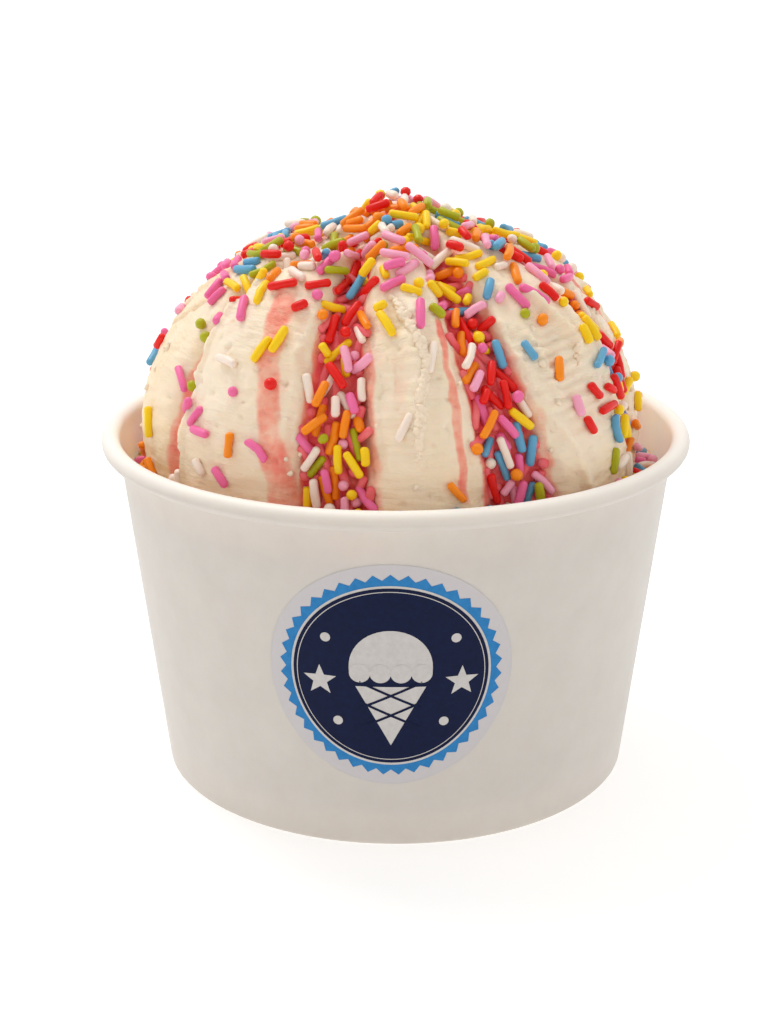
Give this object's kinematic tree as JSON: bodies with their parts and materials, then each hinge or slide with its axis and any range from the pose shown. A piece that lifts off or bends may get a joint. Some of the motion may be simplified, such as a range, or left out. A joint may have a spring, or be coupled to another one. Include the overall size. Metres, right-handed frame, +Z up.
{
  "type": "ice cream pint",
  "caption": "Squat tapered paper cup with a rolled rim and a round front label, heaped with a lobed mound of vanilla ice cream covered in sprinkles.",
  "frame": {"origin": "centre of the cup's foot ring, on the surface it stands on", "axes": "+Z up along the cup's axis, -Y towards the side with the round label, +X to the right as seen facing that side"},
  "size_m": [0.115, 0.115, 0.1121],
  "materials": {
    "cup_paper": "matt white coated board",
    "label_print": "printed sticker, satin",
    "vanilla_cream": "soft frozen cream with sugar sprinkles"
  },
  "bodies": {
    "root": {"cup_wall": "cup_paper", "cup_bottom": "cup_paper", "label": "label_print", "ice_cream": "vanilla_cream"}
  },
  "joints": []
}
